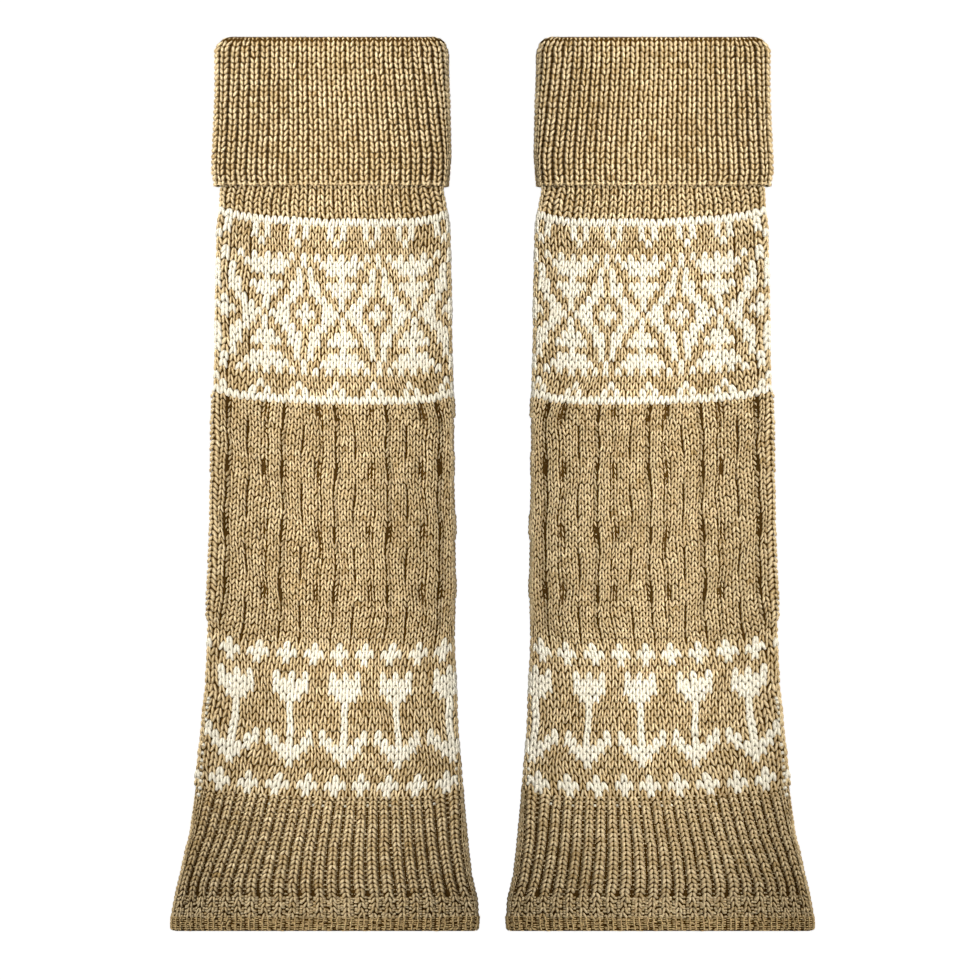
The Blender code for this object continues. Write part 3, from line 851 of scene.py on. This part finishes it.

# %% [markdown]
# ## Yarn
# The yarn is a matt acrylic and wool blend, spun in plies. Matt fibres scatter light, so roughness is high
# and a little sheen stands for the fuzz. The plies show as a fine diagonal twist on each leg, which follows
# the leg's own UV map. Tone differs from stitch to stitch, and slowly over the cloth. What faces straight up
# or down is painted lighter and the flanks darker: a painted highlight on each leg's crest and painted shade
# on its sides.

# %% Colour and node helpers
def linear(hex_colour):
    """An sRGB hex colour as the linear RGBA that shaders use."""
    shares = [int(hex_colour[i : i + 2], 16) / 255 for i in (1, 3, 5)]
    return (*[s / 12.92 if s <= 0.04045 else ((s + 0.055) / 1.055) ** 2.4 for s in shares], 1.0)


def add_node(tree, kind, links=None, **settings):
    """Adds a shader node. links sets or links its sockets by name, and settings are its own properties."""
    made = tree.nodes.new("ShaderNode" + kind)
    for key, value in settings.items():
        setattr(made, key, value)
    for socket, value in (links or {}).items():
        if isinstance(value, bpy.types.NodeSocket):
            tree.links.new(value, made.inputs[socket])
        else:
            made.inputs[socket].default_value = value
    return made


def new_material(name):
    material = bpy.data.materials.new(name)
    material.use_nodes = True
    material.node_tree.nodes.clear()
    return material, material.node_tree


# %% Yarn materials
# Fibres of wool are about 0.03 mm thick. That is too fine to show, so they are drawn as patches of 0.5 mm.
CLOUD_MM, FIBRE_MM, FIBRE_DETAIL = 30.0, 0.5, 3.0
CLOUD_SHARE, NOISE_SHARE, PAINTED_CREST_LIGHT = 0.4, 0.9, 0.65
DARKEST, LIGHTEST = 1.15, 2.2
PLIES, TWIST = 3, 2.5
# The Wave texture repeats at this distance when its scale is 1.
WAVE_PERIOD = 2 * math.pi / 20
FIBRE_HEIGHT, YARN_BUMP, PLY_DEPTH = 0.6, 0.5, 0.15


def yarn(name, dark, light):
    """Plied matt yarn between a dark and a light tone."""
    material, tree = new_material(name)
    texture = add_node(tree, "TexCoord").outputs
    tone = add_node(tree, "Attribute", attribute_name="tone").outputs["Fac"]
    cloud_size = {"Vector": texture["Object"], "Scale": 1 / (CLOUD_MM * METRE)}
    cloud = add_node(tree, "TexNoise", cloud_size).outputs["Fac"]
    fibre_size = {"Vector": texture["Object"], "Scale": 1 / (FIBRE_MM * METRE), "Detail": FIBRE_DETAIL}
    fibre = add_node(tree, "TexNoise", fibre_size).outputs["Fac"]
    both = add_node(tree, "Math", {0: cloud, 1: CLOUD_SHARE, 2: fibre}, operation="MULTIPLY_ADD").outputs[0]
    share = add_node(tree, "Math", {0: both, 1: NOISE_SHARE, 2: tone}, operation="MULTIPLY_ADD").outputs[0]
    # Painted highlight and shade: faces that point up or down are painted lighter, and the flanks darker.
    upright = add_node(tree, "SeparateXYZ", {"Vector": texture["Normal"]}).outputs["Z"]
    crest = add_node(tree, "Math", {0: upright}, operation="ABSOLUTE").outputs[0]
    painted_light = add_node(tree, "Math", {0: crest, 1: PAINTED_CREST_LIGHT, 2: share}, operation="MULTIPLY_ADD").outputs[0]
    ramp = add_node(tree, "MapRange", {"Value": painted_light, "From Min": DARKEST, "From Max": LIGHTEST})
    tones = {"Factor": ramp.outputs["Result"], "A": linear(dark), "B": linear(light)}
    colour = add_node(tree, "Mix", tones, data_type="RGBA")
    along = add_node(tree, "UVMap", uv_map="yarn").outputs["UV"]
    slant = add_node(tree, "Mapping", {"Vector": along, "Rotation": (0.0, 0.0, math.atan(TWIST))})
    bands = {"Vector": slant.outputs["Vector"], "Scale": PLIES * WAVE_PERIOD * math.hypot(1.0, TWIST)}
    ply = add_node(tree, "TexWave", bands, wave_type="BANDS", bands_direction="X").outputs["Fac"]
    height = add_node(tree, "Math", {0: fibre, 1: FIBRE_HEIGHT, 2: ply}, operation="MULTIPLY_ADD").outputs[0]
    twisted = add_node(tree, "Bump", {"Height": height, "Strength": YARN_BUMP, "Distance": PLY_DEPTH * METRE})
    finish = {
        "Base Color": colour.outputs["Result"],
        "Roughness": 0.7,
        "Specular IOR Level": 0.35,
        "Sheen Weight": 0.1,
        "Sheen Roughness": 0.5,
        "Normal": twisted.outputs["Normal"],
    }
    shader = add_node(tree, "BsdfPrincipled", finish)
    add_node(tree, "OutputMaterial", {"Surface": shader.outputs["BSDF"]})
    return material


STRAND_MM, STRAND_DEPTH, GROUND_BUMP = 1.2, 0.4, 0.6


def ground(name, dark, light):
    """The inside of the knit that shows between the legs, painted dark brown as shade, with a trace of the
    crossing yarns.
    """
    material, tree = new_material(name)
    place = add_node(tree, "TexCoord").outputs["Object"]
    strands = add_node(tree, "TexNoise", {"Vector": place, "Scale": 1 / (STRAND_MM * METRE)}).outputs["Fac"]
    tones = {"Factor": strands, "A": linear(dark), "B": linear(light)}
    colour = add_node(tree, "Mix", tones, data_type="RGBA")
    depth = {"Height": strands, "Strength": GROUND_BUMP, "Distance": STRAND_DEPTH * METRE}
    crossed = add_node(tree, "Bump", depth)
    finish = {
        "Base Color": colour.outputs["Result"],
        "Roughness": 0.95,
        "Specular IOR Level": 0.0,
        "Normal": crossed.outputs["Normal"],
    }
    shader = add_node(tree, "BsdfPrincipled", finish)
    add_node(tree, "OutputMaterial", {"Surface": shader.outputs["BSDF"]})
    return material


# Warm sand, with crests painted pale and flanks painted brown, a painted highlight and painted shade that
# make each leg read as round.
CAMEL = yarn("camel_wool_blend_yarn", "#907540", "#e2d2b0")
# Nearly white and even, so that the motifs stand out as flat shapes.
CREAM_YARN = yarn("cream_wool_blend_yarn", "#cbc7b9", "#dcd9cf")
# The same camel, but duller and more even, as it looks where the knit is tight.
HEM_YARN = yarn("camel_welt_yarn", "#a28552", "#e0ca9a")
# Painted shade: dark brown without any shine, which stands for the shadow deep between the stitches.
PAINTED_SHADE_GROUND = ground("camel_knit_ground_painted_shade", "#32220d", "#4e3919")
print("materials:", [material.name for material in (CAMEL, CREAM_YARN, HEM_YARN, PAINTED_SHADE_GROUND)])

# %% [markdown]
# ## Thin shells of cloth
# Under the stitches each piece of cloth is a thin closed shell. It starts as a grid, whose points are moved
# on to the map of the knit, and Solidify gives it a wall on the inside. It lies a little lower than the
# stitches, so it shows only between them, and its dark brown colour is painted shade. The cuff and the hem
# band are tubes: the grid's two ends meet, and Merge by Distance closes them.

# %% Model the shells
SHELL_WALL, HEM_WALL = 0.8, 0.4
SHELL_SINK, FRONT_SINK, BACK_SINK, FOLD_SINK, HEM_SINK = 0.75, 0.9, 0.95, 0.1, 0.4
SHELL_LOWEST = 1.0
CUFF_START, CUFF_LAST = 0.7, 6.0
FACE_AROUND = np.concatenate([[0.0, 0.006], np.linspace(0.013, 0.987, 100), [0.994, 1.0]])
outer_seam, inner_seam = np.linspace(0.0, 0.03, 5), np.linspace(0.97, 1.0, 5)
BACK_AROUND = np.concatenate([outer_seam, np.linspace(0.05, 0.95, 10), inner_seam])
WHOLE_AROUND = np.concatenate([FACE_AROUND, 2.0 - BACK_AROUND[-2::-1]])


def shell(name, around, ups, to_points, wall_thickness, mirrored, flipped, closed):
    """A grid primitive laid on the knit's map, then thickened."""
    columns, rows = len(around) - 1, len(ups) - 1
    add_grid = bpy.ops.mesh.primitive_grid_add
    made = start_piece(add_grid, name, x_subdivisions=columns, y_subdivisions=rows, size=1.0)
    mesh = made.data
    flat = np.empty(len(mesh.vertices) * 3)
    mesh.vertices.foreach_get("co", flat)
    flat = flat.reshape(-1, 3)
    across = around[np.rint((flat[:, 0] + 0.5) * columns).astype(int)]
    up = ups[np.rint((flat[:, 1] + 0.5) * rows).astype(int)]
    points = to_points(across, up) * METRE
    if mirrored:
        points[:, 0] *= -1.0
    mesh.vertices.foreach_set("co", points.ravel())
    mesh.update()
    bpy.ops.object.mode_set(mode="EDIT")
    bpy.ops.mesh.select_all(action="SELECT")
    if closed:
        bpy.ops.mesh.remove_doubles(threshold=0.01 * METRE)
    if mirrored != flipped:
        bpy.ops.mesh.flip_normals()
    bpy.ops.object.mode_set(mode="OBJECT")
    wall = made.modifiers.new("wall", "SOLIDIFY")
    wall.thickness = wall_thickness * METRE
    wall.offset = -1.0
    bpy.ops.object.modifier_apply(modifier=wall.name)
    bpy.ops.object.shade_smooth()
    # The shell's dark brown colour is painted shade between the stitches.
    mesh.materials.append(PAINTED_SHADE_GROUND)
    return made


def either_side(around):
    """For a path all round the tube: how far round its face each place is, and which side it's on."""
    front = around <= 1.0
    return np.where(front, around, 2.0 - around), np.where(front, FRONT, BACK)


def front_shell_point(around, height):
    offset = patterned_offset(count_at(WALES, wale_around, around, height), around, height)
    foot, top = height < RIBS_END, height > RIBS_START
    for ribs, here in ((FOOT, foot), (TOP, top)):
        rib = rib_at(ribs, around[here], height[here])
        offset[here] = ribbed_offset(rib, around[here], height[here])
    return body_point(around, height, np.maximum(offset - FRONT_SINK, SHELL_LOWEST), FRONT)


def back_shell_point(around, height):
    return body_point(around, height, np.full_like(around, PANEL_OUT - BACK_SINK), BACK)


def cuff_shell_point(around, path):
    face, side = either_side(around)
    relief = cuff_relief(rib_at(CUFF, face, CUFF_BOTTOM + path), face, path)
    sink = SHELL_SINK + (FOLD_SINK - SHELL_SINK) * fold_share(path)
    return cuff_point(face, path, np.where(side == FRONT, relief, 0.0) - sink, side)


def hem_shell_point(around, path):
    face, side = either_side(around)
    return hem_point(face, path, -HEM_SINK, side)


FRONT_HEIGHTS = np.linspace(PANEL_BOTTOM, PANEL_TOP, 96)
BACK_HEIGHTS = np.linspace(PANEL_BOTTOM, PANEL_TOP, 40)
outer_leg, over_fold = np.linspace(CUFF_START, CUFF_LEG, 30), np.linspace(0.0, CUFF_FOLD, 9)[1:]
CUFF_PATHS = np.concatenate([outer_leg, CUFF_LEG + over_fold, [CUFF_PATH - CUFF_LAST, CUFF_PATH]])
hem_turn, outside = np.linspace(HEM_LEG, HEM_PATH - HEM_LEG, 5), HEM_PATH - HEM_LEG * np.array([0.5, 0.0])
HEM_PATHS = np.concatenate([[0.0, HEM_LEG / 2], hem_turn, outside])
print("points across, all round and up:", len(FACE_AROUND), len(WHOLE_AROUND), len(FRONT_HEIGHTS))

# %% [markdown]
# ## Putting a warmer together
# Each cloth shell stands for its solid and rides on the one body that the pair has, and the stitches are the
# pieces on it.

# %% Make both warmers
SHELLS = (
    ("front_cloth", "front_panel", FACE_AROUND, FRONT_HEIGHTS, front_shell_point, SHELL_WALL, False, False),
    ("back_cloth", "back_panel", BACK_AROUND, BACK_HEIGHTS, back_shell_point, SHELL_WALL, True, False),
    ("cuff_cloth", "turned_cuff", WHOLE_AROUND, CUFF_PATHS, cuff_shell_point, SHELL_WALL, False, True),
    ("hem_cloth", "hem_band", WHOLE_AROUND, HEM_PATHS, hem_shell_point, HEM_WALL, False, True),
)
STITCHES = (
    ("front_camel_stitches", "front_cloth", front_camel, CAMEL),
    ("front_cream_stitches", "front_cloth", front_cream, CREAM_YARN),
    ("front_rib_stitches", "front_cloth", front_ribs, CAMEL),
    ("back_camel_stitches", "back_cloth", back_camel, CAMEL),
    ("back_cream_stitches", "back_cloth", back_cream, CREAM_YARN),
    ("cuff_stitches", "cuff_cloth", cuff_stitches, CAMEL),
    ("hem_stitches", "hem_cloth", hem_stitches, HEM_YARN),
)
CUFF_MIDDLE = 385.0


def width_at(height, outline):
    """Half the way round the tube at a height."""
    return column(outline, "outer", height) + column(outline, "inner", height) + (math.pi - 2.0) * PANEL_OUT


panel_widths = width_at(np.linspace(PANEL_BOTTOM, PANEL_TOP, 200), BODY_OUTLINE)
cuff_width = 2 * float(width_at(CUFF_MIDDLE, CUFF_OUTLINE))
hem_width = 2 * float(width_at(HEM_TOP / 2, BODY_OUTLINE))


def make_warmer(side, mirrored):
    """One warmer's shells and stitches."""
    cloths = {}
    for name, node, around, ups, to_points, wall, flipped, closed in SHELLS:
        made = shell(f"{side}_{name}", around, ups, to_points, wall, mirrored, flipped, closed)
        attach(made, "root")
        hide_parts(f"{side}_{node}")
        cloths[name] = (made, [])
    for name, cloth, groups, material in STITCHES:
        made = join_copies(f"{side}_{name}", groups, material, mirrored)
        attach(made, "root")
        cloths[cloth][1].append(made)
    return [piece for made, stitches in cloths.values() for piece in (made, *stitches)]


left_pieces = make_warmer("left", False)
right_pieces = make_warmer("right", True)
print("pieces:", len(left_pieces) + len(right_pieces))

# %% [markdown]
# ## Floor, light and camera
# The pair was photographed flat, from straight above, on pure white. Each warmer is lit by a long soft box
# with a grid right above it, whose beam falls off towards both sides, and by a smaller one from its own outer
# side: the mirrored shading shows that. Light linking gives each light only its own warmer. The floor has a
# faint glow of its own, which doesn't reach the cloth, so that its rounded sides turn dark.

# %% Floor
FLOOR_SIZE, FLOOR_GLOW, CLOUDED_MM = 6.0, 0.9, 40.0
floor = start_piece(bpy.ops.mesh.primitive_plane_add, "floor", size=FLOOR_SIZE)
painted, tree = new_material("white_studio_floor")
place = add_node(tree, "TexCoord").outputs["Object"]
clouded = add_node(tree, "TexNoise", {"Vector": place, "Scale": 1 / (CLOUDED_MM * METRE)}).outputs["Fac"]
tones = {"Factor": clouded, "A": linear("#f6f6f6"), "B": linear("#ffffff")}
colour = add_node(tree, "Mix", tones, data_type="RGBA")
finish = {
    "Base Color": colour.outputs["Result"],
    "Roughness": 0.9,
    "Emission Color": linear("#ffffff"),
    "Emission Strength": FLOOR_GLOW,
}
shader = add_node(tree, "BsdfPrincipled", finish)
add_node(tree, "OutputMaterial", {"Surface": shader.outputs["BSDF"]})
floor.data.materials.append(painted)
floor.visible_diffuse = False
print("floor:", FLOOR_SIZE, "m wide")

# %% Light
ROOM_LIGHT = 0.18
world = bpy.data.worlds.new("soft_white_room")
world.use_nodes = True
background = world.node_tree.nodes["Background"].inputs
background["Color"].default_value = linear("#fffcf6")
background["Strength"].default_value = ROOM_LIGHT
bpy.context.scene.world = world


def soft_box(name, place, target, power, width, length, spread, pieces):
    """A soft box that lights only its own warmer. It isn't in any picture itself."""
    light = bpy.data.lights.new(name, "AREA")
    light.energy = power
    light.shape = "RECTANGLE"
    light.size, light.size_y = width, length
    light.spread = math.radians(spread)
    light.color = linear("#fff9ee")[:3]
    made = bpy.data.objects.new(name, light)
    bpy.context.scene.collection.objects.link(made)
    made.location = place
    made.rotation_euler = (made.location - target).to_track_quat("Z", "Y").to_euler()
    made.visible_camera = False
    lit = bpy.data.collections.new(f"{name}_lights")
    for piece in pieces:
        lit.objects.link(piece)
    made.light_linking.receiver_collection = lit
    return made


KEY_OUT, KEY_UP, KEY_HIGH = 0.6, 0.3, 0.4
KEY_POWER, KEY_SIZE, KEY_SPREAD = 5.3, 0.2, 180.0
STRIP_OUT, STRIP_UP, STRIP_HIGH = 0.001, 0.1, 0.4
STRIP_POWER, STRIP_WIDTH, STRIP_LENGTH, STRIP_SPREAD = 0.34, 0.04, 0.58, 34.0
for name, side, pieces in (("left", -1.0, left_pieces), ("right", 1.0, right_pieces)):
    target = bpy.context.scene.cursor.location.copy()
    target.x = side * CENTRE_LINE * METRE
    key_place, key_box = (side * KEY_OUT, KEY_UP, KEY_HIGH), (KEY_POWER, KEY_SIZE, KEY_SIZE, KEY_SPREAD)
    soft_box(f"{name}_key", key_place, target, *key_box, pieces)
    target.x += side * STRIP_OUT
    target.y = STRIP_UP
    strip_box = (STRIP_POWER, STRIP_WIDTH, STRIP_LENGTH, STRIP_SPREAD)
    soft_box(f"{name}_strip", (target.x, STRIP_UP, STRIP_HIGH), target, *strip_box, pieces)

# %% Camera
PHOTO_SIDE = 980
PHOTO_SCALE = 0.4698
PAIR_MIDDLE = 492.5
HEM_EDGE_LINE = 932.0
LENS, SENSOR = 85.0, 36.0
FACE_HEIGHT = 3.5
view_width = PHOTO_SIDE * PHOTO_SCALE * METRE
camera_data = bpy.data.cameras.new("overhead_camera")
camera_data.lens = LENS
camera_data.sensor_width = SENSOR
camera = bpy.data.objects.new("overhead_camera", camera_data)
bpy.context.scene.collection.objects.link(camera)
camera.location = (
    (PHOTO_SIDE / 2 - PAIR_MIDDLE) * PHOTO_SCALE * METRE,
    ((HEM_EDGE_LINE - PHOTO_SIDE / 2) * PHOTO_SCALE - LENGTH / 2) * METRE,
    view_width * LENS / SENSOR + FACE_HEIGHT * METRE,
)
bpy.context.scene.camera = camera
bpy.context.scene.view_settings.view_transform = "Standard"
print("camera height:", round(camera.location.z, 3), "m")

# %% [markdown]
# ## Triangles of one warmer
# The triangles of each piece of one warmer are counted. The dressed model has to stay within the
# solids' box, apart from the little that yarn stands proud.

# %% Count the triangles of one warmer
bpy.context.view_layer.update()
triangles = {o.name: sum(len(p.vertices) - 2 for p in o.data.polygons) for o in left_pieces}
print("triangles of one warmer:", sum(triangles.values()), triangles)
